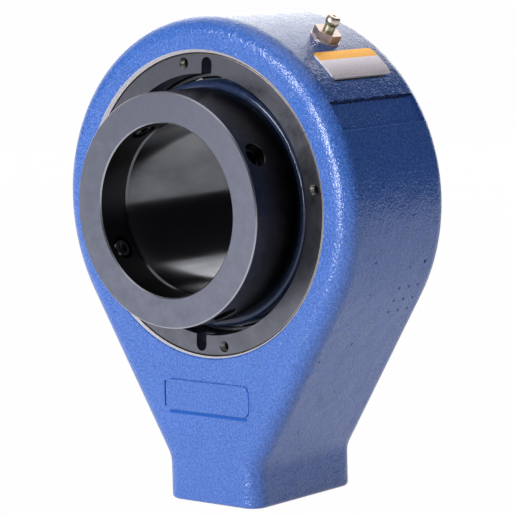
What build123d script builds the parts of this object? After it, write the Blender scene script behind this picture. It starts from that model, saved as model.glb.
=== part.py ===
from build123d import *
import os
from math import acos, asin, atan2, cos, degrees, floor, hypot, pi, radians, sin, sqrt

# Hanger bearing for a 3 inch conveyor shaft: a cast teardrop housing on a square foot, with a
# self-aligning double-row roller bearing inside, a threaded cover ring and a seal on each side,
# and a locking collar with four set screws on the front.
# Millimetres. Y runs along the shaft and the collar faces -Y. Z is up. The origin is the
# bearing's centre, in the middle of the housing's width.

# Shaft and running clearances
shaft_radius = 38.1
race_clearance = 0.1
running_clearance = 0.08
seat_clearance = 0.02
face_clearance = 0.05
swing_clearance = 0.2
tilt_limit = 1.5
cut_overrun = 1.0

# Bearing
bearing_width = 31.0
race_height = 6.8
roller_diameter = 14.5
crown_relief = 1.0
outer_race_wall = 5.4
rib_height = 1.65
row_gap = 2.3
roller_face_margin = 0.35
roller_end_clearance = 0.15
cage_bar = 3.2
cage_thickness = 2.4
cage_outer_web = 1.6
cage_inner_web = 0.9
guide_ring_height = 4.9
guide_ring_clearance = 0.2
grease_groove_width = 6.0
grease_groove_depth = 1.2
grease_hole_radius = 1.75
grease_hole_count = 3
ring_end_chamfer = 0.8

# Housing casting
housing_width = 70.0
thread_step = 1.9
head_wall = 15.9
foot_drop = 134.0
foot_height = 18.5
foot_breadth = 53.5
front_round = 8.0
rear_round = 7.3
waist_round = 10.0
foot_edge_round = 1.8
mouth_chamfer = 1.75
hanger_thread_radius = 14.05
hanger_thread_depth = 44.0
hanger_thread_chamfer = 1.8
hanger_drill_tip = 7.0

# Raised pad on the front and sunk panel on the side of the casting
pad_breadth = 48.0
pad_height = 14.0
pad_rise = 1.0
pad_corner = 3.0
pad_centre_z = -85.8
pad_edge_round = 0.45
panel_length = 58.0
panel_height = 14.0
panel_depth = 1.5
panel_angle = 29.6
panel_corner = 1.0

# Cover rings
cover_recess = 1.4
cover_face_width = 8.95
cover_lip_width = 1.5
cover_lip_thickness = 1.3
cover_seat_width = 4.4
cover_edge_chamfer = 0.4
spanner_slot_width = 5.8
spanner_slot_reach = 4.5
spanner_slot_depth = 6.0
spanner_slot_angle = 86.5
cover_hole_circle = 126.0
cover_hole_radius = 2.1
cover_hole_depth = 8.0
cover_hole_chamfer = 0.45
cover_hole_count = 4
cover_hole_angle = 8.6

# Seals
case_wall = 1.8
case_width = 2.5
case_edge_chamfer = 0.6
seal_gap = 0.9
seal_back_gap = 0.64
seal_face_clearance = 0.4
seal_flange_thickness = 2.5
seal_flange_reach = 1.6
seal_crest_width = 1.9
seal_crest_reach = 0.9

# Locking collar and set screws
collar_wall = 13.55
collar_length = 29.5
collar_entry = 3.6
collar_engagement = 12.4
collar_shoulder_gap = 0.8
collar_chamfer = 0.6
screw_count = 4
screw_radius = 5.3
screw_hole_clearance = 0.08
screw_length = 9.5
screw_tip_gap = 0.4
screw_setback = 8.5
screw_angle = 29.5
screw_tip_chamfer = 1.6
screw_cup_radius = 2.6
screw_cup_depth = 1.0
screw_key_size = 6.35
screw_key_depth = 4.5
screw_hole_chamfer = 0.4
screw_end_chamfer = 0.5

# Grease fitting
fitting_angle = 60.0
fitting_y = 2.5
fitting_shank_radius = 3.2
fitting_shank_length = 8.0
fitting_hole_clearance = 0.05
fitting_hole_runout = 1.0
fitting_seat_radius = 7.0
fitting_seat_depth = 0.4
fitting_flange_radius = 6.7
fitting_flange_height = 0.9
fitting_hex_size = 11.1
fitting_hex_height = 3.7
fitting_neck_radius = 2.55
fitting_neck_height = 2.6
fitting_head_radius = 3.3
fitting_head_height = 4.6
fitting_mouth_radius = 0.85
fitting_mouth_depth = 0.7
fitting_channel_radius = 1.35
fitting_feed_radius = 0.7
check_ball_radius = 1.2
check_ball_travel = 0.8
spring_wire_radius = 0.2
spring_turns = 4
spring_clearance = 0.1
grease_drill_radius = 1.6

# Nameplate
plate_length = 40.7
plate_height = 16.0
plate_thickness = 0.9
plate_corner = 2.2
plate_angle = 47.3
plate_centre_y = 2.4

# Places worked out from the sizes above
roller_radius = roller_diameter / 2
inner_race_reach = shaft_radius + race_height
roller_reach = inner_race_reach + race_clearance + roller_radius
outer_race_reach = roller_reach + roller_radius + race_clearance
outer_ring_radius = outer_race_reach + outer_race_wall
half_bearing = bearing_width / 2
row_offset = (row_gap / 2 + half_bearing - roller_face_margin) / 2
contact_angle = degrees(asin(row_offset / roller_reach))
contact_sin = sin(radians(contact_angle))
contact_cos = cos(radians(contact_angle))
pitch_radius = roller_reach * contact_cos
crown_radius = outer_race_reach - crown_relief
row_half_span = half_bearing - roller_face_margin - row_offset
roller_half_length = (row_half_span - roller_radius * contact_sin) / contact_cos
roller_count = floor(pi / asin((roller_diameter + cage_bar) / (2 * pitch_radius)))
roller_pitch = 360 / roller_count
land_radius = inner_race_reach * contact_cos + rib_height

thread_radius = outer_ring_radius + thread_step
head_radius = thread_radius + head_wall
half_housing = housing_width / 2
foot_half = foot_breadth / 2
taper_end = foot_drop - foot_height

tilt_sin = sin(radians(tilt_limit))
roller_swing = half_bearing + outer_race_reach * tilt_sin
cover_face = half_housing - cover_recess
cover_bore_radius = thread_radius - cover_face_width
cover_lip_back = roller_swing + swing_clearance
cover_lip_front = cover_lip_back + cover_lip_thickness
cover_seat_radius = thread_radius - cover_seat_width

case_inner_radius = cover_bore_radius - case_wall
seal_outer_radius = case_inner_radius - seal_gap
collar_rear = cover_face - collar_entry
collar_front = collar_rear + collar_length
collar_radius = shaft_radius + collar_wall
collar_counterbore_radius = land_radius + seat_clearance
ring_front = collar_rear + collar_engagement
ring_rear = half_housing
collar_shoulder = ring_front + collar_shoulder_gap
screw_y = collar_front - screw_setback


def ring_about_y(points):
    """Turn a closed outline of (radius, y) points into a ring about the shaft."""
    outline = Polyline(*[(radius, y) for radius, y in points], close=True)
    return revolve(make_face(outline), Axis.Y)


def mirrored(points, side):
    """Put an outline drawn for the rear (+Y) side on the given side."""
    return [(radius, side * y) for radius, y in points]


def radial_plane(angle, y, reach):
    """Plane at a distance from the shaft, facing outwards, with its x axis along the shaft."""
    direction = Vector(cos(radians(angle)), 0, sin(radians(angle)))
    return Plane(
        origin=direction * reach + Vector(0, y, 0), x_dir=(0, 1, 0), z_dir=direction
    )


def round_bar(radius, length, start=0.0):
    """Cylinder along +Z that starts at the given height."""
    return Pos(0, 0, start) * Cylinder(
        radius, length, align=(Align.CENTER, Align.CENTER, Align.MIN)
    )


def countersink(radius, chamfer):
    """Cutter for the chamfered mouth of a hole whose face lies in the XY plane."""
    bottom = Pos(0, 0, -chamfer) * Circle(radius)
    return loft([bottom.face(), Circle(radius + chamfer).face()])


def make_housing():
    """Teardrop casting with its square foot, machined bore and tapped hanger hole."""
    corner_reach = hypot(foot_half, taper_end)
    tangent = atan2(-taper_end, foot_half) + acos(head_radius / corner_reach)
    tangent_x = head_radius * cos(tangent)
    tangent_z = head_radius * sin(tangent)
    arch = ThreePointArc((tangent_x, tangent_z), (0, head_radius), (-tangent_x, tangent_z))
    sides = Polyline(
        (-tangent_x, tangent_z),
        (-foot_half, -taper_end),
        (-foot_half, -foot_drop),
        (foot_half, -foot_drop),
        (foot_half, -taper_end),
        (tangent_x, tangent_z),
    )
    outline = make_face([arch, sides])
    waist = [v for v in outline.vertices() if abs(v.Y + taper_end) < 0.01]
    outline = fillet(waist, waist_round)
    body = extrude(Plane.XZ * outline, half_housing, both=True)

    for side, radius in ((-1, front_round), (1, rear_round)):
        face = body.faces().sort_by(Axis.Y)[0 if side < 0 else -1]
        rim = [e for e in face.outer_wire().edges() if e.center().Z > -foot_drop + 0.01]
        body = fillet(rim, radius)
    body = fillet(body.faces().sort_by(Axis.Z)[0].edges(), foot_edge_round)

    body += make_front_pad()
    body -= make_side_panel_cut()
    body -= make_bore_cut()
    body -= make_hanger_hole()
    body -= make_grease_passage()
    return body


def make_front_pad():
    """Raised pad low on the front face."""
    front = Plane.XZ.offset(half_housing)
    shape = front * Pos(0, pad_centre_z) * RectangleRounded(pad_breadth, pad_height, pad_corner)
    pad = extrude(shape, pad_rise)
    return fillet(pad.faces().sort_by(Axis.Y)[0].edges(), pad_edge_round)


def make_side_panel_cut():
    """Shallow sunk panel on the rim of the head."""
    floor_plane = radial_plane(panel_angle, 0, head_radius - panel_depth)
    window = floor_plane * RectangleRounded(panel_length, panel_height, panel_corner)
    return extrude(window, panel_depth + cut_overrun)


def make_bore_cut():
    """Bearing seat with a wider threaded land and a chamfered mouth on each side."""
    land = thread_radius + seat_clearance
    mouth = land + mouth_chamfer
    seat = outer_ring_radius + seat_clearance
    outline = [
        (0, -half_housing),
        (mouth, -half_housing),
        (land, -half_housing + mouth_chamfer),
        (land, -half_bearing),
        (seat, -half_bearing),
        (seat, half_bearing),
        (land, half_bearing),
        (land, half_housing - mouth_chamfer),
        (mouth, half_housing),
        (0, half_housing),
    ]
    return ring_about_y(outline)


def make_hanger_hole():
    """Blind tapped hole up into the foot, for the hanger rod."""
    foot = Plane.XY.offset(-foot_drop)
    hole = foot * round_bar(hanger_thread_radius, hanger_thread_depth)
    tip = foot * Pos(0, 0, hanger_thread_depth) * Cone(
        hanger_thread_radius, 0, hanger_drill_tip, align=(Align.CENTER, Align.CENTER, Align.MIN)
    )
    mouth = foot * Rot(180, 0, 0) * countersink(hanger_thread_radius, hanger_thread_chamfer)
    return hole + tip + mouth


def make_grease_passage():
    """Seat, tapped hole and drilling that lead grease to the outer ring's groove."""
    seat_reach = head_radius - fitting_seat_depth
    outwards = radial_plane(fitting_angle, fitting_y, seat_reach)
    seat = outwards * round_bar(fitting_seat_radius, fitting_seat_depth + cut_overrun)
    tapped_depth = fitting_shank_length + fitting_hole_runout
    tapped = outwards * round_bar(
        fitting_shank_radius + fitting_hole_clearance, tapped_depth, -tapped_depth
    )
    depth = seat_reach - outer_ring_radius + cut_overrun
    drilling = outwards * round_bar(grease_drill_radius, depth, -depth)
    return seat + tapped + drilling


def make_outer_ring():
    """Outer ring with a spherical raceway, a grease groove and its feed holes."""
    mouth_radius = sqrt(outer_race_reach**2 - half_bearing**2)
    groove_floor = outer_ring_radius - grease_groove_depth
    half_groove = grease_groove_width / 2
    race = ThreePointArc(
        (mouth_radius, -half_bearing), (outer_race_reach, 0), (mouth_radius, half_bearing)
    )
    outside = Polyline(
        (mouth_radius, half_bearing),
        (outer_ring_radius - ring_end_chamfer, half_bearing),
        (outer_ring_radius, half_bearing - ring_end_chamfer),
        (outer_ring_radius, half_groove),
        (groove_floor, half_groove),
        (groove_floor, -half_groove),
        (outer_ring_radius, -half_groove),
        (outer_ring_radius, -half_bearing + ring_end_chamfer),
        (outer_ring_radius - ring_end_chamfer, -half_bearing),
        (mouth_radius, -half_bearing),
    )
    ring = revolve(make_face([race, outside]), Axis.Y)
    for index in range(grease_hole_count):
        angle = fitting_angle + index * 360 / grease_hole_count
        start = radial_plane(angle, 0, outer_race_reach - cut_overrun)
        ring -= start * round_bar(grease_hole_radius, outer_race_wall + 2 * cut_overrun)
    return ring


def roller_frame(side):
    """Plane through a roller's centre at angle zero: x along the roller, y away from the shaft."""
    along = Vector(-contact_sin, side * contact_cos)
    origin = Vector(pitch_radius, side * row_offset)
    return Plane(origin=origin, x_dir=along, z_dir=(0, 0, -side))


def make_raceway_cut(side):
    """Ring-shaped cutter for one raceway of the inner ring."""
    half = roller_half_length + roller_end_clearance
    radius = crown_radius + race_clearance
    lowest = -roller_radius - race_clearance
    end_height = lowest + radius - sqrt(radius**2 - half**2)
    bed = ThreePointArc((-half, end_height), (0, lowest), (half, end_height))
    top = Polyline(
        (half, end_height), (half, roller_radius), (-half, roller_radius), (-half, end_height)
    )
    return revolve(roller_frame(side) * make_face([bed, top]), Axis.Y)


def make_inner_ring():
    """Inner ring, long enough at the front to carry the locking collar."""
    ring = ring_about_y([
        (shaft_radius + ring_end_chamfer, -ring_front),
        (land_radius - ring_end_chamfer, -ring_front),
        (land_radius, -ring_front + ring_end_chamfer),
        (land_radius, ring_rear - ring_end_chamfer),
        (land_radius - ring_end_chamfer, ring_rear),
        (shaft_radius + ring_end_chamfer, ring_rear),
        (shaft_radius, ring_rear - ring_end_chamfer),
        (shaft_radius, -ring_front + ring_end_chamfer),
    ])
    for side in (-1, 1):
        ring -= make_raceway_cut(side)
    return ring


def make_roller():
    """Barrel roller along X, ready to be put at its place in a row."""
    end_radius = roller_radius - crown_radius + sqrt(crown_radius**2 - roller_half_length**2)
    barrel = ThreePointArc(
        (-roller_half_length, end_radius), (0, roller_radius), (roller_half_length, end_radius)
    )
    closing = Polyline(
        (roller_half_length, end_radius),
        (roller_half_length, 0),
        (-roller_half_length, 0),
        (-roller_half_length, end_radius),
    )
    return revolve(make_face([barrel, closing]), Axis.X)


def row_angles(side):
    """Angles of one row's rollers. The front row sits half a pitch on from the rear row."""
    start = roller_pitch / 2 if side < 0 else 0
    return [start + index * roller_pitch for index in range(roller_count)]


def about_shaft(angle):
    """Turn from the +X direction towards +Z by an angle."""
    return Rot(0, -angle, 0)


def make_cage(side):
    """Conical window cage of one row."""
    inner_end = -(roller_half_length + roller_end_clearance + cage_inner_web)
    outer_end = roller_half_length + roller_end_clearance + cage_outer_web
    half = cage_thickness / 2
    band = Polyline(
        (inner_end, -half), (outer_end, -half), (outer_end, half), (inner_end, half), close=True
    )
    frame = roller_frame(side)
    cage = revolve(frame * make_face(band), Axis.Y)
    pocket = frame * Rot(0, 90, 0) * Cylinder(
        roller_radius + roller_end_clearance, 2 * (roller_half_length + roller_end_clearance)
    )
    for angle in row_angles(side):
        cage -= about_shaft(angle) * pocket
    return cage


def make_guide_ring():
    """Loose ring between the two rows, wider away from the shaft like the rollers' ends."""
    low = land_radius + guide_ring_clearance
    high = low + guide_ring_height

    def half_width(radius):
        slope = contact_sin / contact_cos
        end_at_pitch = row_offset - roller_half_length * contact_cos
        rise = radius - pitch_radius - roller_half_length * contact_sin
        return end_at_pitch + rise * slope - guide_ring_clearance

    return ring_about_y([
        (low, -half_width(low)),
        (high, -half_width(high)),
        (high, half_width(high)),
        (low, half_width(low)),
    ])


def make_cover(side):
    """Threaded cover ring with two spanner slots and four tapped holes in its face."""
    back = half_bearing + face_clearance
    cover = ring_about_y(mirrored([
        (cover_seat_radius, back),
        (thread_radius, back),
        (thread_radius, cover_face - cover_edge_chamfer),
        (thread_radius - cover_edge_chamfer, cover_face),
        (cover_bore_radius, cover_face),
        (cover_bore_radius, cover_lip_front),
        (cover_bore_radius - cover_lip_width, cover_lip_front),
        (cover_bore_radius - cover_lip_width, cover_lip_back),
        (cover_seat_radius, cover_lip_back),
    ], side))

    for turn in (0, 180):
        cover -= about_shaft(spanner_slot_angle + turn) * make_spanner_slot(side)

    hole = round_bar(cover_hole_radius, cover_hole_depth, -cover_hole_depth)
    hole += countersink(cover_hole_radius, cover_hole_chamfer)
    for index in range(cover_hole_count):
        angle = cover_hole_angle + index * 360 / cover_hole_count
        centre = about_shaft(angle) * Pos(cover_hole_circle / 2, side * cover_face, 0)
        cover -= centre * Rot(-side * 90, 0, 0) * hole
    return cover


def make_spanner_slot(side):
    """Cutter for a spanner slot at angle zero, open to the bore and round at its outer end."""
    half = spanner_slot_width / 2
    end = cover_bore_radius + spanner_slot_reach
    face = Plane.XZ.offset(-side * cover_face)
    slot = Pos((cover_bore_radius + end) / 2 - half, 0) * Rectangle(
        end - cover_bore_radius + spanner_slot_width, spanner_slot_width
    )
    slot += Pos(end, 0) * Circle(half)
    return extrude(face * slot, side * spanner_slot_depth)


def make_seal_case(side):
    """Steel ring of the seal, pressed into the cover's bore."""
    outer = cover_bore_radius - seat_clearance
    back = cover_lip_front + seat_clearance
    front = back + case_width
    return ring_about_y(mirrored([
        (case_inner_radius, back),
        (outer, back),
        (outer, front - case_edge_chamfer),
        (outer - case_edge_chamfer, front),
        (case_inner_radius, front),
    ], side))


def make_seal(side):
    """Rubber seal that floats on the inner ring and tilts with it."""
    inner = land_radius + running_clearance
    front = collar_rear - seal_face_clearance
    back = cover_lip_front + seal_back_gap
    flange_front = back + seal_flange_thickness
    flange_root = seal_outer_radius - seal_flange_reach
    crest = flange_root + seal_crest_reach
    crest_back = front - seal_crest_width
    lip = Polyline(
        (crest - seal_crest_width, side * front),
        (inner, side * front),
        (inner, side * back),
        (seal_outer_radius, side * back),
        (seal_outer_radius, side * flange_front),
        (flange_root, side * flange_front),
        (crest, side * crest_back),
    )
    nose = RadiusArc(
        (crest, side * crest_back),
        (crest - seal_crest_width, side * front),
        -side * seal_crest_width,
    )
    return revolve(make_face([lip, nose]), Axis.Y)


def make_collar():
    """Locking collar: it grips the inner ring's end and carries the set screws."""
    collar = ring_about_y([
        (shaft_radius + collar_chamfer, -collar_front),
        (collar_radius - collar_chamfer, -collar_front),
        (collar_radius, -collar_front + collar_chamfer),
        (collar_radius, -collar_rear - collar_chamfer),
        (collar_radius - collar_chamfer, -collar_rear),
        (collar_counterbore_radius, -collar_rear),
        (collar_counterbore_radius, -collar_shoulder),
        (shaft_radius + collar_chamfer, -collar_shoulder),
        (shaft_radius, -collar_shoulder - collar_chamfer),
        (shaft_radius, -collar_front + collar_chamfer),
    ])
    radius = screw_radius + screw_hole_clearance
    for angle in screw_angles():
        start = radial_plane(angle, -screw_y, shaft_radius - cut_overrun)
        collar -= start * round_bar(radius, collar_wall + 2 * cut_overrun)
        mouth = radial_plane(angle, -screw_y, collar_radius)
        collar -= mouth * countersink(radius, screw_hole_chamfer)
    return collar


def screw_angles():
    """Angles of the set screws round the collar."""
    return [screw_angle + index * 360 / screw_count for index in range(screw_count)]


def make_set_screw(angle):
    """Cup-point set screw with a hexagon socket, a little above the shaft's surface."""
    waist = screw_radius - screw_tip_chamfer
    end = screw_radius - screw_end_chamfer
    half_section = Polyline(
        (0, 0),
        (waist, 0),
        (screw_radius, screw_tip_chamfer),
        (screw_radius, screw_length - screw_end_chamfer),
        (end, screw_length),
        (0, screw_length),
        close=True,
    )
    screw = revolve(Plane.XZ * make_face(half_section), Axis.Z)
    screw -= Cone(
        screw_cup_radius, 0, screw_cup_depth, align=(Align.CENTER, Align.CENTER, Align.MIN)
    )
    socket = Pos(0, 0, screw_length) * RegularPolygon(
        screw_key_size / 2, 6, major_radius=False
    )
    screw -= extrude(socket, -screw_key_depth)
    return radial_plane(angle, -screw_y, shaft_radius + screw_tip_gap) * screw


def fitting_plane():
    """Plane of the flat seat that the grease fitting stands on."""
    return radial_plane(fitting_angle, fitting_y, head_radius - fitting_seat_depth)


def fitting_heights():
    """Heights above the seat: neck's top, head's top and check ball's centre."""
    neck_top = fitting_flange_height + fitting_hex_height + fitting_neck_height
    head_top = neck_top + fitting_head_height
    drop = sqrt(check_ball_radius**2 - fitting_mouth_radius**2)
    ball_centre = head_top - fitting_mouth_depth - drop - seat_clearance
    return neck_top, head_top, ball_centre


def spring_ends():
    """Lowest and highest point of the fitting's spring, pressed as far as the ball can go."""
    ball_centre = fitting_heights()[2]
    top = ball_centre - check_ball_radius - check_ball_travel - spring_clearance
    return fitting_flange_height, top


def make_grease_fitting():
    """Straight grease fitting: shank, flanged hexagon, neck and ball head, drilled through."""
    neck_top, head_top, _ = fitting_heights()
    body = round_bar(fitting_shank_radius, fitting_shank_length, -fitting_shank_length)
    body += round_bar(fitting_flange_radius, fitting_flange_height)
    hexagon = Pos(0, 0, fitting_flange_height) * RegularPolygon(
        fitting_hex_size / 2, 6, major_radius=False
    )
    body += extrude(hexagon, fitting_hex_height)
    body += round_bar(fitting_neck_radius, neck_top)
    head = Pos(0, 0, neck_top + fitting_head_height / 2) * Sphere(fitting_head_radius)
    head &= round_bar(fitting_head_radius, fitting_head_height, neck_top)
    body += head

    spring_seat = spring_ends()[0] - spring_clearance
    body -= round_bar(
        fitting_channel_radius, head_top - fitting_mouth_depth - spring_seat, spring_seat
    )
    body -= round_bar(fitting_mouth_radius, fitting_head_height, head_top - fitting_head_height)
    feed_length = fitting_shank_length + spring_seat + cut_overrun
    body -= round_bar(fitting_feed_radius, feed_length, -fitting_shank_length)
    return fitting_plane() * body


def make_check_ball():
    """Ball that closes the grease fitting's mouth."""
    return fitting_plane() * Pos(0, 0, fitting_heights()[2]) * Sphere(check_ball_radius)


def make_check_spring():
    """Coil spring under the check ball."""
    bottom, top = spring_ends()
    coil_radius = fitting_channel_radius - spring_clearance - spring_wire_radius
    rise = top - bottom - 2 * spring_wire_radius
    path = Helix(rise / spring_turns, rise, coil_radius)
    section = Plane(origin=path @ 0, z_dir=path % 0) * Circle(spring_wire_radius)
    coil = sweep(section, path)
    return fitting_plane() * Pos(0, 0, bottom + spring_wire_radius) * coil


def make_nameplate():
    """Thin plate bent to the rim of the head."""
    low = head_radius + face_clearance
    shell = Cylinder(low + plate_thickness, housing_width) - Cylinder(low, housing_width)
    start = radial_plane(plate_angle, plate_centre_y, head_radius - plate_height / 2)
    blank = start * RectangleRounded(plate_length, plate_height, plate_corner)
    return extrude(blank, plate_height) & (Rot(90, 0, 0) * shell)


def make_parts():
    """Every piece by the name of its node."""
    parts = {
        "housing": make_housing(),
        "outer_ring": make_outer_ring(),
        "inner_ring": make_inner_ring(),
        "guide_ring": make_guide_ring(),
        "locking_collar": make_collar(),
        "grease_fitting": make_grease_fitting(),
        "check_ball": make_check_ball(),
        "check_spring": make_check_spring(),
        "nameplate": make_nameplate(),
    }
    for index, angle in enumerate(screw_angles(), start=1):
        parts[f"set_screw_{index}"] = make_set_screw(angle)

    roller = make_roller()
    for word, side in (("front", -1), ("rear", 1)):
        parts[f"{word}_cover"] = make_cover(side)
        parts[f"{word}_seal_case"] = make_seal_case(side)
        parts[f"{word}_seal"] = make_seal(side)
        parts[f"{word}_cage"] = make_cage(side)
        for index, angle in enumerate(row_angles(side), start=1):
            parts[f"{word}_roller_{index:02d}"] = about_shaft(angle) * (roller_frame(side) * roller)
    return parts


os.makedirs("parts", exist_ok=True)
for name, shape in make_parts().items():
    export_step(shape, f"parts/{name}.step")
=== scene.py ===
import bpy
from math import cos, pi, radians, sin
from mathutils import Matrix, Vector

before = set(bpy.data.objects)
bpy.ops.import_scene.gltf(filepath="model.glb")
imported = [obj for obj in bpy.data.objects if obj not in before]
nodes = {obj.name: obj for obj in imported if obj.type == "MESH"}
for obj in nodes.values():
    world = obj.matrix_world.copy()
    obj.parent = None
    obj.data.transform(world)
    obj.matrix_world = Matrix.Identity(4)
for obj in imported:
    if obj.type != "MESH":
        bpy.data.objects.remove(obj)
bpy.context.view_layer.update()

# Sizes are in millimetres in this script and in metres in Blender
mm = 0.001

# Camera, placed as the photograph was taken
image_size = 515
camera_azimuth = radians(40.091)
camera_elevation = radians(5.804)
camera_roll = radians(-1.509)
camera_distance = 1279.4
camera_focal_pixels = 2847.4
camera_sensor = 36.0
camera_near = 50.0
camera_far = 50000.0
aim_right = 1.306
aim_up = -27.042

# Light and stage
soft_light = (0.235, 0.24, 0.25)
floor_size = 20000.0
floor_grey = (0.85, 0.85, 0.85)
floor_white_share = 0.985
card_distance = 1500.0
card_width = 2800.0
card_height = 2600.0
card_black = (0.02, 0.02, 0.022)
card_roughness = 0.9

# Places on the casting that its finish follows
foot_drop = 134.0
head_radius = 82.8
bare_edge_radius = 68.32
bare_edge_shift = 0.3
gap_radius = 67.3
hanger_mouth_radius = 15.9
hanger_hole_top = -80.0
panel_angle = radians(29.6)
panel_half_length = 29.0
panel_half_height = 7.0
# Depth and swing of the painted shade along the sunk panel's ragged upper edge, and half width of the
# painted highlight along its lower edge
panel_ragged_depth = 1.1
panel_ragged_swing = 1.0
panel_line_half_width = 0.2
pad_bottom = -92.8
pad_top = -78.8
pad_half_breadth = 24.0
pad_corner = 1.2
# Widths of the painted shade along the raised pad's lower and left sides, and how far the painted
# bands reach over its edges
pad_lower_band = 1.7
pad_left_band = 1.4
pad_edge_overlap = 0.2
# Widths of the painted shadow along the nameplate's lower edge, above and below it
shadow_above_plate_edge = 0.5
shadow_below_plate_edge = 0.9
calm_height = 8.0

# Places on the cover rings
cover_edge_radius = 66.52
cover_face = 33.6
cover_hole_count = 4
cover_hole_circle = 126.0
cover_hole_angle = radians(8.6)
cover_hole_mouth = 2.16
cover_hole_bright_depth = 2.8
cover_thread_pitch = 0.8
cover_thread_depth = 0.12

# Places on the locking collar
collar_front = 59.5
collar_faced_skin = 0.04
collar_bore_radius = 39.2
collar_chamfer = 0.6

# Places on the nameplate
plate_angle = radians(47.3)
plate_radius = 83.3
plate_height = 16.0
plate_left = -17.8
plate_bright_edge = 0.5
stripe_height = 5.2

# Places along the grease fitting's axis, from the bearing's middle
fitting_angle = radians(60)
fitting_flange_top = 83.35
fitting_hexagon_top = 87.15
fitting_neck_top = 89.6

# Wear on the right of the casting: (y, z, radius) of each pit
dot_rows = (-37.2, -43.0, -48.2)
dot_columns = (9.6, 16.6, 23.2)
dot_radius = 0.65
single_pits = (
    (-15.8, -100.8, 0.5),
    (-25.8, -66.4, 0.5),
    (-6.8, -60.8, 0.55),
    (-13.7, -23.2, 0.6),
    (22.8, -26.5, 0.8),
    (12.5, -28.0, 0.5),
    (-10.9, -37.8, 0.4),
    (9.8, -4.7, 0.5),
)
scuff_place = (-7.0, -83.8, 7.5)
scuff_edge = 4.0
scratch_limit = 0.37

# Colours of the casting, linear, and pairs of a dark and a light tone
cloud_tones = ((0.054, 0.152, 0.52), (0.068, 0.182, 0.61))
speckle_dark = (0.022, 0.085, 0.36)
speckle_middle = (0.06, 0.165, 0.56)
speckle_light = (0.13, 0.27, 0.80)
speckle_share = 0.6
# Painted shade under the raised pad, along its lower side
pad_shade_blue = (0.023, 0.11, 0.46)
# Painted shade along the raised pad's left side
shaded_blue = (0.004, 0.024, 0.17)
# Painted light on the raised pad's right side
pad_light_blue = (0.15, 0.33, 0.95)
# Painted shade along the sunk panel's ragged upper edge
panel_shade_blue = (0.012, 0.03, 0.12)
# Painted highlight along the sunk panel's lower edge
panel_highlight_blue = (0.16, 0.36, 0.85)
worn_blue = (0.002, 0.012, 0.2)
# Painted shadow along the nameplate's lower edge
plate_shadow_black = (0.002, 0.004, 0.012)
# Painted shade in the gap between the housing's bare chamfer and the cover ring
painted_gap_shade = (0.01, 0.01, 0.012)
bare_tones = ((0.80, 0.77, 0.84), (0.94, 0.90, 0.98))

# Gloss of the casting
paint_specular = 0.65
calm_specular = 0.3
dull_specular = 0.08
machined_metallic = 0.35
machined_roughness = 0.45

# Relief of the casting's paint
swell_depth = 0.4
peel_depth = 0.25
grit_depth = 0.17
dent_depth = -0.12

# Colours of the cover rings, linear, and their patches of painted sheen and painted shade by angle
cover_oxide = (0.155, 0.16, 0.195)
# Painted sheen on the cover rings between two angles
painted_sheen_grey = (0.26, 0.265, 0.32)
sheen_patch = (radians(22), radians(52))
sheen_patch_edge = radians(14)
# Painted shade on the cover rings between two angles
painted_shade_black = (0.035, 0.038, 0.045)
shade_patch = (radians(-30), radians(14))
shade_patch_edge = radians(24)
patch_share = 0.6
rim_bare = (0.5, 0.46, 0.42)
# Painted shade deeper in the cover rings' tapped holes, bare threads at their mouths
thread_shade_dark = (0.02, 0.02, 0.02)
thread_bright = (0.75, 0.72, 0.7)

# Colours of the locking collar, linear
collar_faced = (0.2, 0.21, 0.27)
collar_tones = ((0.048, 0.046, 0.046), (0.066, 0.063, 0.062))
# Painted shade inside the locking collar's bore
collar_inside_shade = (0.022, 0.022, 0.026)
collar_edge = (0.42, 0.42, 0.48)

# Colours of the grease fitting, linear, each with its share
flange_tint = (0.95, 0.92, 0.92)
flange_share = 0.8
hexagon_tint = (0.42, 0.31, 0.28)
hexagon_share = 0.65
neck_tint = (0.36, 0.42, 0.24)
neck_share = 0.6

# Dark and light tones of the other pieces, linear
ground_tones = ((0.09, 0.092, 0.104), (0.125, 0.128, 0.142))
seal_tones = ((0.018, 0.03, 0.075), (0.032, 0.055, 0.13))
screw_tones = ((0.06, 0.06, 0.065), (0.12, 0.12, 0.125))
silver_tones = ((0.72, 0.65, 0.71), (0.92, 0.83, 0.9))
orange_tones = ((0.92, 0.39, 0.02), (1.0, 0.52, 0.05))
plate_edge = (0.95, 0.93, 0.97)
case_tones = ((0.10, 0.10, 0.12), (0.16, 0.16, 0.19))
bright_tones = ((0.5, 0.5, 0.51), (0.6, 0.6, 0.61))
brass_tones = ((0.52, 0.35, 0.12), (0.66, 0.47, 0.19))

# Rings that the lathe left
lathe_mark_width = 0.35
lathe_mark_depth = 0.004

# Values of a noise between which nearly all of it lies
noise_low = 0.3
noise_high = 0.7


def direction_to(azimuth, elevation):
    """Direction from the bearing's middle to a place at that azimuth and elevation."""
    return Vector((
        sin(azimuth) * cos(elevation),
        -cos(azimuth) * cos(elevation),
        sin(elevation),
    ))


def make_camera():
    """Camera at the photograph's place, with its lens and its slight roll."""
    place = direction_to(camera_azimuth, camera_elevation) * camera_distance
    aim = Vector((aim_right * cos(camera_azimuth), aim_right * sin(camera_azimuth), aim_up))
    back = (place - aim).normalized()
    right = Vector((0, 0, 1)).cross(back).normalized()
    up = back.cross(right)
    rolled_right = cos(camera_roll) * right + sin(camera_roll) * up
    rolled_up = cos(camera_roll) * up - sin(camera_roll) * right
    turn = Matrix((rolled_right, rolled_up, back)).transposed().to_4x4()

    data = bpy.data.cameras.new("camera")
    data.sensor_width = camera_sensor
    data.lens = camera_sensor * camera_focal_pixels / image_size
    data.clip_start = camera_near * mm
    data.clip_end = camera_far * mm
    camera = bpy.data.objects.new("camera", data)
    camera.matrix_world = Matrix.Translation(place * mm) @ turn
    bpy.context.scene.collection.objects.link(camera)
    bpy.context.scene.camera = camera


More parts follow.
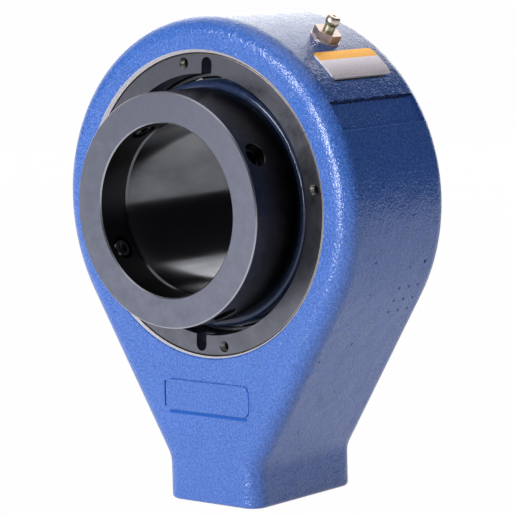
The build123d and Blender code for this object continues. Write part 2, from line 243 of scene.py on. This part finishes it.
class Finish:
    """A material in the making: its shader, and short calls for the nodes that feed it."""

    def __init__(self, name, metallic=0.0):
        self.material = bpy.data.materials.new(name)
        self.material.use_nodes = True
        self.tree = self.material.node_tree
        self.shader = self.tree.nodes["Principled BSDF"]
        self.set("Metallic", metallic)

    def set(self, socket, value):
        """Put a number, colour or node output on one of the shader's sockets."""
        self.feed(self.shader.inputs[socket], value)

    def feed(self, target, value):
        """Put a number, colour or node output on any socket."""
        if isinstance(value, bpy.types.NodeSocket):
            self.tree.links.new(value, target)
        elif hasattr(value, "__len__") and len(value) == 3 and target.type == "RGBA":
            target.default_value = (*value, 1)
        else:
            target.default_value = value

    def node(self, kind, **settings):
        """New node, with its settings."""
        made = self.tree.nodes.new(kind)
        for name, value in settings.items():
            setattr(made, name, value)
        return made

    def place(self, scale=(1, 1, 1), turn=(0, 0, 0)):
        """Object coordinates in metres, turned and stretched as asked."""
        coordinates = self.node("ShaderNodeTexCoord").outputs["Object"]
        mapping = self.node("ShaderNodeMapping")
        self.feed(mapping.inputs["Vector"], coordinates)
        mapping.inputs["Scale"].default_value = scale
        mapping.inputs["Rotation"].default_value = turn
        return mapping.outputs["Vector"]

    def axis(self, name, turn=(0, 0, 0)):
        """One coordinate of the place on the object, in millimetres, after a turn if one is given."""
        split = self.node("ShaderNodeSeparateXYZ")
        self.feed(split.inputs["Vector"], self.place(scale=(1 / mm,) * 3, turn=turn))
        return split.outputs[name]

    def math(self, operation, first, second=0.0):
        """One sum."""
        made = self.node("ShaderNodeMath", operation=operation)
        self.feed(made.inputs[0], first)
        self.feed(made.inputs[1], second)
        return made.outputs["Value"]

    def chain(self, operation, values):
        """The same sum over all the values, one after another."""
        total = values[0]
        for value in values[1:]:
            total = self.math(operation, total, value)
        return total

    def both(self, *shares):
        """Product of the shares, which is one only where each of them is one."""
        return self.chain("MULTIPLY", shares)

    def either(self, *shares):
        """Largest of the shares, which is one where any of them is one."""
        return self.chain("MAXIMUM", shares)

    def reach(self, *names):
        """Distance from the axis that the named coordinates leave out, in millimetres."""
        squares = [self.math("POWER", self.axis(name), 2.0) for name in names]
        return self.math("SQRT", self.chain("ADD", squares))

    def angle(self):
        """Angle round the bearing's axis, from the right upwards, in radians."""
        return self.math("ARCTAN2", self.axis("Z"), self.axis("X"))

    def rise(self, start, radius):
        """Way up from an angle along a rim of the given radius, in millimetres."""
        return self.math("MULTIPLY", self.math("SUBTRACT", self.angle(), start), radius)

    def distance(self, centre, flat):
        """Distance in millimetres to a line through the centre along the flat axis."""
        place = self.place(scale=tuple(0 if name == flat else 1 / mm for name in "XYZ"))
        made = self.node("ShaderNodeVectorMath", operation="DISTANCE")
        self.feed(made.inputs[0], place)
        made.inputs[1].default_value = centre
        return made.outputs["Value"]

    def pits(self, spots, edge=0.3):
        """One inside any of the (y, z, radius) spots on the right side, none outside them."""
        gaps = [
            self.math("SUBTRACT", self.distance((0, y, z), flat="X"), radius)
            for y, z, radius in spots
        ]
        inside = self.below(self.chain("MINIMUM", gaps), 0.0, edge)
        return self.both(inside, self.above(self.axis("X"), 0.0, edge=0.1))

    def below(self, value, limit, edge):
        """One where the value is under the limit, none above it, with a soft edge."""
        made = self.node("ShaderNodeMapRange", interpolation_type="SMOOTHSTEP")
        self.feed(made.inputs["Value"], value)
        made.inputs["From Min"].default_value = limit - edge / 2
        made.inputs["From Max"].default_value = limit + edge / 2
        made.inputs["To Min"].default_value = 1.0
        made.inputs["To Max"].default_value = 0.0
        return made.outputs["Result"]

    def above(self, value, limit, edge):
        """One where the value is over the limit, none under it, with a soft edge."""
        return self.below(self.math("MULTIPLY", value, -1.0), -limit, edge)

    def between(self, value, low, high, edge):
        """One between the two limits, none outside them, with soft edges."""
        return self.both(self.above(value, low, edge), self.below(value, high, edge))

    def noise(self, grain, detail=2.0, rough=0.5, scale=(1, 1, 1), twist=0.0):
        """Cloudy noise whose grain is given in millimetres."""
        made = self.node("ShaderNodeTexNoise")
        self.feed(made.inputs["Vector"], self.place(scale=scale))
        made.inputs["Scale"].default_value = 1 / (grain * mm)
        made.inputs["Detail"].default_value = detail
        made.inputs["Roughness"].default_value = rough
        made.inputs["Distortion"].default_value = twist
        return made.outputs["Fac"]

    def marks(self, along, grain):
        """Fine machining marks across a coordinate that is given in millimetres."""
        made = self.node("ShaderNodeTexNoise", noise_dimensions="1D")
        self.feed(made.inputs["W"], self.math("DIVIDE", along, grain))
        made.inputs["Scale"].default_value = 1.0
        made.inputs["Detail"].default_value = 2.0
        return made.outputs["Fac"]

    def ramp(self, value, *stops):
        """Colour that follows a value through (position, colour) stops."""
        made = self.node("ShaderNodeValToRGB")
        self.feed(made.inputs["Fac"], value)
        elements = made.color_ramp.elements
        while len(elements) < len(stops):
            elements.new(0.5)
        for element, (position, colour) in zip(elements, stops):
            element.position = position
            element.color = (*colour, 1)
        return made.outputs["Color"]

    def tones(self, cloud, pair):
        """Colour that goes from the dark to the light one of a pair with a noise."""
        dark, light = pair
        return self.ramp(cloud, (noise_low, dark), (noise_high, light))

    def span(self, value, low, high, start=noise_low, end=noise_high):
        """Value between start and end brought to the range from low to high, which may run down."""
        made = self.node("ShaderNodeMapRange")
        self.feed(made.inputs["Value"], value)
        made.inputs["From Min"].default_value = start
        made.inputs["From Max"].default_value = end
        made.inputs["To Min"].default_value = low
        made.inputs["To Max"].default_value = high
        return made.outputs["Result"]

    def blend(self, share, first, second):
        """First colour where the share is none, second where it is one."""
        made = self.node("ShaderNodeMix", data_type="RGBA")
        self.feed(made.inputs["Factor"], share)
        self.feed(made.inputs["A"], first)
        self.feed(made.inputs["B"], second)
        return made.outputs["Result"]

    def mix(self, share, first, second):
        """The same for two numbers."""
        made = self.node("ShaderNodeMix", data_type="FLOAT")
        self.feed(made.inputs["Factor"], share)
        self.feed(made.inputs["A"], first)
        self.feed(made.inputs["B"], second)
        return made.outputs["Result"]

    def bump(self, height, depth, under=None, strength=1.0):
        """Relief of the given depth in millimetres, over another relief if there is one."""
        made = self.node("ShaderNodeBump")
        self.feed(made.inputs["Height"], height)
        self.feed(made.inputs["Strength"], strength)
        made.inputs["Distance"].default_value = depth * mm
        if under is not None:
            self.feed(made.inputs["Normal"], under)
        return made.outputs["Normal"]


def cast_paint():
    """Blue enamel over a cast skin, with bare steel where the casting was machined."""
    paint = Finish("cast_blue_paint")
    machined = machined_places(paint)
    worn = worn_places(paint)
    # Masks of painted shade and painted light along the pad and the sunk panel, and of a painted
    # shadow under the nameplate
    pad_lower_shade, pad_left_shade, pad_right_light = pad_edges(paint)
    panel_upper_shade, panel_lower_highlight = panel_edges(paint)
    plate_shadow, calm = shade_under_plate(paint)

    grain = paint.noise(grain=0.9, detail=2.0, rough=0.6)
    cloud = paint.tones(paint.noise(grain=14.0, detail=5.0, rough=0.6), cloud_tones)
    speckled = paint.ramp(grain, (0.34, speckle_dark), (0.5, speckle_middle), (0.68, speckle_light))
    blue = paint.blend(speckle_share, cloud, speckled)
    for share, colour in (
        # painted shade under the pad
        (pad_lower_shade, pad_shade_blue),
        # painted shade along the pad's left side
        (pad_left_shade, shaded_blue),
        # painted light on the pad's right side
        (pad_right_light, pad_light_blue),
        # painted shade along the sunk panel's upper edge
        (panel_upper_shade, panel_shade_blue),
        # painted highlight along the sunk panel's lower edge
        (panel_lower_highlight, panel_highlight_blue),
        (worn, worn_blue),
        # painted shadow under the nameplate
        (plate_shadow, plate_shadow_black),
    ):
        blue = paint.blend(share, blue, colour)
    # Painted shade in the gap round the cover ring
    gap = paint.below(paint.reach("X", "Z"), gap_radius, edge=0.1)
    steel = paint.blend(gap, paint.tones(grain, bare_tones), painted_gap_shade)
    paint.set("Base Color", paint.blend(machined, blue, steel))
    paint.set("Metallic", paint.both(machined, machined_metallic))

    # Duller paint in the pits and scratches and under the painted shade along the pad
    dull = paint.either(worn, pad_lower_shade, pad_left_shade)
    gloss = paint.mix(calm, paint_specular, calm_specular)
    paint.set("Specular IOR Level", paint.mix(dull, gloss, dull_specular))
    smear = paint.span(paint.noise(grain=5.0, detail=3.0), low=0.13, high=0.24)
    paint.set("Roughness", paint.mix(machined, smear, machined_roughness))

    painted = paint.math("SUBTRACT", 1.0, machined)
    swell = paint.noise(grain=8.0, detail=2.0)
    relief = paint.bump(swell, swell_depth, strength=painted)
    peel = paint.noise(grain=1.3, detail=1.5, rough=0.45)
    relief = paint.bump(peel, peel_depth, under=relief, strength=painted)
    grit = paint.noise(grain=0.7, detail=1.0)
    relief = paint.bump(grit, grit_depth, under=relief, strength=painted)
    paint.set("Normal", paint.bump(worn, dent_depth, under=relief))
    return paint.material


def machined_places(paint):
    """One on the bore and its chamfered mouth and in the tapped hole under the foot."""
    centre = (-bare_edge_shift, 0, bare_edge_shift)
    bore = paint.below(paint.distance(centre, flat="Y"), bare_edge_radius, edge=0.05)
    hole = paint.below(paint.reach("X", "Y"), hanger_mouth_radius, edge=0.05)
    low = paint.below(paint.axis("Z"), hanger_hole_top, edge=0.1)
    return paint.either(bore, paint.both(hole, low))


def worn_places(paint):
    """One in the pits and in the scratches of the scuff on the right side."""
    dots = paint.pits([(y, z, dot_radius) for y in dot_columns for z in dot_rows])
    singles = paint.pits(single_pits)
    scratches = paint.noise(grain=1.1, detail=3.0, rough=0.7)
    scratched = paint.below(scratches, scratch_limit, edge=0.05)
    scuff = paint.both(scratched, paint.pits([scuff_place], edge=scuff_edge))
    return paint.either(dots, singles, scuff)


def pad_edges(paint):
    """One along the raised pad's lower and left sides, where shade is painted, and one along its
    right side, where light is painted.
    """
    across = paint.axis("X")
    up = paint.axis("Z")
    front = paint.below(paint.axis("Y"), 0.0, edge=0.1)
    half_middle = pad_half_breadth - pad_corner
    middle = paint.between(across, -half_middle, half_middle, edge=1.5)
    length = paint.between(up, pad_bottom + pad_corner, pad_top - pad_corner, edge=0.8)
    lower = paint.between(up, pad_bottom - pad_lower_band, pad_bottom - 0.1, edge=0.5)
    left_end = -pad_half_breadth - pad_left_band
    left = paint.between(across, left_end, -pad_half_breadth + pad_edge_overlap, edge=0.3)
    right = paint.between(
        across,
        pad_half_breadth - pad_edge_overlap,
        pad_half_breadth + pad_edge_overlap,
        edge=0.1,
    )
    sides = ((lower, middle), (left, length), (right, length))
    return [paint.both(side, extent, front) for side, extent in sides]


def panel_edges(paint):
    """One along the sunk panel's ragged upper edge, where shade is painted, and one along its lower
    edge, where a highlight is painted.
    """
    rise = paint.rise(panel_angle, head_radius)
    swing = paint.span(
        paint.noise(grain=2.0, detail=3.0),
        low=-panel_ragged_swing,
        high=panel_ragged_swing,
        start=0.0,
        end=1.0,
    )
    ragged = paint.math("ADD", rise, swing)
    length = paint.between(paint.axis("Y"), -panel_half_length, panel_half_length, edge=0.6)
    upper_low = panel_half_height - panel_ragged_depth
    upper = paint.between(ragged, upper_low, panel_half_height + 0.1, edge=0.4)
    lower_low = -panel_half_height - panel_line_half_width
    lower_high = -panel_half_height + panel_line_half_width
    lower = paint.between(rise, lower_low, lower_high, edge=0.2)
    return paint.both(upper, length), paint.both(lower, length)


def shade_under_plate(paint):
    """One in the painted shadow line along the nameplate's lower edge, and one in the duller paint
    below.
    """
    plate_bottom = -plate_height / 2
    rise = paint.rise(plate_angle, head_radius)
    low = plate_bottom - shadow_below_plate_edge
    line = paint.between(rise, low, plate_bottom + shadow_above_plate_edge, edge=0.3)
    extent = paint.between(paint.axis("Y"), plate_left, -plate_left, edge=2.0)
    calm = paint.between(rise, plate_bottom - calm_height, plate_bottom, edge=3.0)
    return paint.both(line, extent), calm


def turned_steel(name, colour, roughness):
    """Dark turned steel with the lathe's fine rings: its finish, its colour and its relief."""
    steel = Finish(name, metallic=1.0)
    cloud = steel.noise(grain=6.0, detail=4.0, rough=0.6)
    pair = [tuple(part * share for part in colour) for share in (0.85, 1.15)]
    tones = steel.tones(cloud, pair)
    steel.set("Roughness", steel.span(cloud, low=roughness + 0.05, high=roughness - 0.05))
    across = steel.math("ADD", steel.reach("X", "Z"), steel.axis("Y"))
    rings = steel.bump(steel.marks(across, lathe_mark_width), lathe_mark_depth)
    relief = steel.bump(steel.noise(grain=0.5, detail=2.0), depth=0.01, under=rings)
    steel.set("Normal", relief)
    return steel, tones, relief


def cover_steel():
    """Black oxide on the cover rings, with painted sheen and painted shade in patches by angle, bare
    on edge and hole mouths, and painted shade deeper in the holes.
    """
    cover, outer, relief = turned_steel("cover_black_oxide", cover_oxide, roughness=0.3)
    angle = cover.angle()
    # Patches of painted sheen and painted shade by angle round the axis
    sheen_share = cover.between(angle, *sheen_patch, edge=sheen_patch_edge)
    shade_share = cover.between(angle, *shade_patch, edge=shade_patch_edge)
    outer = cover.blend(cover.both(sheen_share, patch_share), outer, painted_sheen_grey)
    outer = cover.blend(cover.both(shade_share, patch_share), outer, painted_shade_black)
    rim = cover.above(cover.reach("X", "Z"), cover_edge_radius, edge=0.05)
    outer = cover.blend(rim, outer, rim_bare)

    holes = cover_holes(cover)
    depth = cover.math("ABSOLUTE", cover.axis("Y"))
    mouth = cover.above(depth, cover_face - cover_hole_bright_depth, edge=1.0)
    # Bare threads at the holes' mouths, painted shade deeper in
    threads = cover.blend(mouth, thread_shade_dark, thread_bright)
    cover.set("Base Color", cover.blend(holes, outer, threads))
    turns = cover.math("MULTIPLY", cover.axis("Y"), 2 * pi / cover_thread_pitch)
    ridges = cover.both(cover.math("SINE", turns), holes)
    cover.set("Normal", cover.bump(ridges, cover_thread_depth, under=relief))
    return cover.material


def cover_holes(cover):
    """One in the small tapped holes of the cover rings."""
    holes = []
    for index in range(cover_hole_count):
        angle = cover_hole_angle + 2 * pi * index / cover_hole_count
        centre = (cover_hole_circle / 2 * cos(angle), 0, cover_hole_circle / 2 * sin(angle))
        distance = cover.distance(centre, flat="Y")
        holes.append(cover.below(distance, cover_hole_mouth, edge=0.05))
    return cover.either(*holes)


def collar_steel():
    """Black oxide on the locking collar, lighter on its faced front, bright on the edge, with painted
    shade inside its bore.
    """
    collar, faced, _ = turned_steel("collar_black_oxide", collar_faced, roughness=0.34)
    along = collar.axis("Y")
    front = collar.below(along, -collar_front + collar_faced_skin, edge=0.03)
    dark = collar.tones(collar.noise(grain=4.0, detail=3.0), collar_tones)
    # Painted shade inside the collar's bore
    inside = collar.below(collar.reach("X", "Z"), collar_bore_radius, edge=0.1)
    dark = collar.blend(inside, dark, collar_inside_shade)
    edges = collar.below(along, -collar_front + collar_chamfer, edge=0.05)
    dark = collar.blend(edges, dark, collar_edge)
    collar.set("Base Color", collar.blend(front, dark, faced))
    return collar.material


def ground_bore_steel():
    """Ground bore of the inner ring, mirror-like with fine marks round it."""
    steel = Finish("ground_bore", metallic=1.0)
    cloud = steel.noise(grain=9.0, detail=3.0, scale=(1, 0.4, 1))
    steel.set("Base Color", steel.tones(cloud, ground_tones))
    steel.set("Roughness", steel.span(cloud, low=0.2, high=0.13))
    steel.set("Normal", steel.bump(steel.marks(steel.axis("Y"), grain=0.2), depth=0.003))
    return steel.material


def seal_rubber():
    """Glossy moulded rubber, very dark blue."""
    rubber = Finish("seal_rubber")
    cloud = rubber.noise(grain=3.0, detail=3.0)
    rubber.set("Base Color", rubber.tones(cloud, seal_tones))
    rubber.set("Roughness", rubber.span(cloud, low=0.1, high=0.22))
    rubber.set("Normal", rubber.bump(rubber.noise(grain=1.6, detail=2.0), depth=0.03))
    return rubber.material


def screw_steel():
    """Black oxide on the set screws, slightly uneven."""
    steel = Finish("screw_black_oxide", metallic=1.0)
    cloud = steel.noise(grain=1.5, detail=3.0)
    steel.set("Base Color", steel.tones(cloud, screw_tones))
    steel.set("Roughness", 0.24)
    steel.set("Normal", steel.bump(cloud, depth=0.02))
    return steel.material


def plated_steel():
    """Zinc plating with its yellow and pink tints on the grease fitting."""
    steel = Finish("zinc_plating", metallic=0.9)
    tint = steel.noise(grain=3.0, detail=2.0, twist=0.6)
    colour = steel.ramp(
        tint,
        (0.32, (0.36, 0.42, 0.27)),
        (0.44, (0.66, 0.60, 0.47)),
        (0.54, (0.70, 0.52, 0.50)),
        (0.68, (0.82, 0.76, 0.72)),
    )
    height = steel.axis("X", turn=(0, fitting_angle, 0))
    hexagon = steel.between(height, fitting_flange_top, fitting_hexagon_top, edge=0.2)
    neck = steel.between(height, fitting_hexagon_top, fitting_neck_top, edge=0.4)
    flange = steel.below(height, fitting_flange_top, edge=0.2)
    colour = steel.blend(steel.both(hexagon, hexagon_share), colour, hexagon_tint)
    colour = steel.blend(steel.both(neck, neck_share), colour, neck_tint)
    colour = steel.blend(steel.both(flange, flange_share), colour, flange_tint)
    steel.set("Base Color", colour)
    steel.set("Roughness", steel.span(tint, low=0.3, high=0.42))
    steel.set("Normal", steel.bump(steel.noise(grain=0.8, detail=2.0), depth=0.02))
    return steel.material


def plate_metal():
    """Dull silver nameplate with an orange band along its upper edge, white along its left and lower
    edges.
    """
    plate = Finish("plate_silver", metallic=0.6)
    rise = plate.rise(plate_angle, plate_radius)
    upper = plate.above(rise, plate_height / 2 - stripe_height, edge=0.25)
    fine = plate.noise(grain=0.7, detail=3.0, rough=0.6)
    left = plate.below(plate.axis("Y"), plate_left, edge=0.3)
    lower = plate.below(rise, -plate_height / 2 + plate_bright_edge, edge=0.2)
    printed = plate.blend(upper, plate.tones(fine, silver_tones), plate.tones(fine, orange_tones))
    plate.set("Base Color", plate.blend(plate.either(left, lower), printed, plate_edge))
    plate.set("Roughness", 0.36)
    plate.set("Normal", plate.bump(fine, depth=0.02))
    return plate.material


def machined_metal(name, pair, roughness):
    """Clean machined metal of the seal cases and of the pieces inside the bearing."""
    metal = Finish(name, metallic=1.0)
    cloud = metal.noise(grain=2.5, detail=3.0)
    metal.set("Base Color", metal.tones(cloud, pair))
    metal.set("Roughness", metal.span(cloud, low=roughness + 0.05, high=roughness - 0.04))
    metal.set("Normal", metal.bump(metal.noise(grain=0.4, detail=2.0), depth=0.004))
    return metal.material


def dress(material, *names):
    """Give CAD nodes a finish."""
    for name in names:
        nodes[name].data.materials.clear()
        nodes[name].data.materials.append(material)


def dress_all():
    """Every node's finish."""
    dress(cast_paint(), "housing")
    dress(cover_steel(), "front_cover", "rear_cover")
    dress(collar_steel(), "locking_collar")
    dress(ground_bore_steel(), "inner_ring")
    dress(seal_rubber(), "front_seal", "rear_seal")
    case = machined_metal("case_grey_steel", case_tones, roughness=0.3)
    dress(case, "front_seal_case", "rear_seal_case")
    dress(screw_steel(), *[f"set_screw_{index}" for index in range(1, 5)])
    dress(plated_steel(), "grease_fitting")
    dress(plate_metal(), "nameplate")
    bright = machined_metal("bearing_steel", bright_tones, roughness=0.18)
    rollers = [f"{row}_roller_{index:02d}" for row in ("front", "rear") for index in range(1, 19)]
    dress(bright, "outer_ring", "guide_ring", "check_ball", "check_spring", *rollers)
    brass = machined_metal("cage_brass", brass_tones, roughness=0.3)
    dress(brass, "front_cage", "rear_cage")


def seen_directly(tree):
    """One for rays from the camera, off gloss and through glass, and none for soft light."""
    path = tree.nodes.new("ShaderNodeLightPath")
    total = path.outputs["Is Camera Ray"]
    for name in ("Is Glossy Ray", "Is Transmission Ray"):
        either = tree.nodes.new("ShaderNodeMath")
        either.operation = "MAXIMUM"
        tree.links.new(total, either.inputs[0])
        tree.links.new(path.outputs[name], either.inputs[1])
        total = either.outputs[0]
    return total


def make_floor():
    """Pale floor that keeps the object's shadow and runs into a white background."""
    bpy.ops.object.select_all(action="DESELECT")
    bpy.ops.mesh.primitive_plane_add(size=floor_size * mm, location=(0, 0, -foot_drop * mm))
    floor = bpy.context.object
    floor.name = "floor"
    pale = bpy.data.materials.new("pale_floor")
    pale.use_nodes = True
    tree = pale.node_tree
    tree.nodes.clear()
    share = tree.nodes.new("ShaderNodeMath")
    share.operation = "MULTIPLY"
    tree.links.new(seen_directly(tree), share.inputs[0])
    share.inputs[1].default_value = floor_white_share
    dull = tree.nodes.new("ShaderNodeBsdfDiffuse")
    dull.inputs["Color"].default_value = (*floor_grey, 1)
    white = tree.nodes.new("ShaderNodeEmission")
    both = tree.nodes.new("ShaderNodeMixShader")
    out = tree.nodes.new("ShaderNodeOutputMaterial")
    tree.links.new(share.outputs[0], both.inputs["Fac"])
    tree.links.new(dull.outputs[0], both.inputs[1])
    tree.links.new(white.outputs[0], both.inputs[2])
    tree.links.new(both.outputs[0], out.inputs["Surface"])
    floor.data.materials.append(pale)


def make_dark_card(name, azimuth, bottom):
    """Dark upright card that only the gloss of the object shows."""
    centre = direction_to(azimuth, 0) * card_distance
    centre.z = card_height / 2 + bottom
    bpy.ops.object.select_all(action="DESELECT")
    bpy.ops.mesh.primitive_plane_add(size=1)
    card = bpy.context.object
    card.name = name
    card.scale = (card_width * mm, card_height * mm, 1)
    card.rotation_euler = (radians(90), 0, azimuth)
    card.location = centre * mm
    dull = bpy.data.materials.new(f"{name}_black")
    dull.use_nodes = True
    shader = dull.node_tree.nodes["Principled BSDF"]
    shader.inputs["Base Color"].default_value = (*card_black, 1)
    shader.inputs["Roughness"].default_value = card_roughness
    card.data.materials.append(dull)
    card.visible_camera = False
    card.visible_diffuse = False
    card.visible_shadow = False


def make_world():
    """White behind the object and soft grey light on it."""
    world = bpy.data.worlds.new("studio")
    bpy.context.scene.world = world
    world.use_nodes = True
    tree = world.node_tree
    tree.nodes.clear()
    grey = tree.nodes.new("ShaderNodeBackground")
    grey.inputs["Color"].default_value = (*soft_light, 1)
    white = tree.nodes.new("ShaderNodeBackground")
    white.inputs["Color"].default_value = (1, 1, 1, 1)
    both = tree.nodes.new("ShaderNodeMixShader")
    out = tree.nodes.new("ShaderNodeOutputWorld")
    tree.links.new(seen_directly(tree), both.inputs["Fac"])
    tree.links.new(grey.outputs[0], both.inputs[1])
    tree.links.new(white.outputs[0], both.inputs[2])
    tree.links.new(both.outputs[0], out.inputs["Surface"])


def make_lamp(name, azimuth, elevation, distance, width, height, watts, lean=0.0):
    """Soft lamp that faces the bearing's middle and leans about its own axis."""
    data = bpy.data.lights.new(name, "AREA")
    data.shape = "RECTANGLE"
    data.size = width * mm
    data.size_y = height * mm
    data.energy = watts
    lamp = bpy.data.objects.new(name, data)
    place = direction_to(azimuth, elevation) * distance * mm
    turn = place.to_track_quat("Z", "Y").to_matrix().to_4x4()
    lamp.matrix_world = Matrix.Translation(place) @ turn @ Matrix.Rotation(lean, 4, "Z")
    bpy.context.scene.collection.objects.link(lamp)


def make_light():
    """Narrow leaning lamp in front of the bearing and a broad weak one behind on the left."""
    make_lamp(
        "front_lamp",
        azimuth=radians(-8),
        elevation=radians(11),
        distance=1200,
        width=260,
        height=820,
        watts=12.5,
        lean=radians(34),
    )
    make_lamp(
        "rear_lamp",
        azimuth=radians(-150),
        elevation=radians(30),
        distance=1800,
        width=1800,
        height=1800,
        watts=13.0,
    )


make_camera()
dress_all()
make_floor()
make_dark_card("side_card", azimuth=radians(139), bottom=-foot_drop)
make_dark_card("front_card", azimuth=radians(57), bottom=-foot_drop)
make_dark_card("left_card", azimuth=radians(-51), bottom=0)
make_world()
make_light()
bpy.context.scene.view_settings.view_transform = "Standard"

bpy.context.view_layer.update()
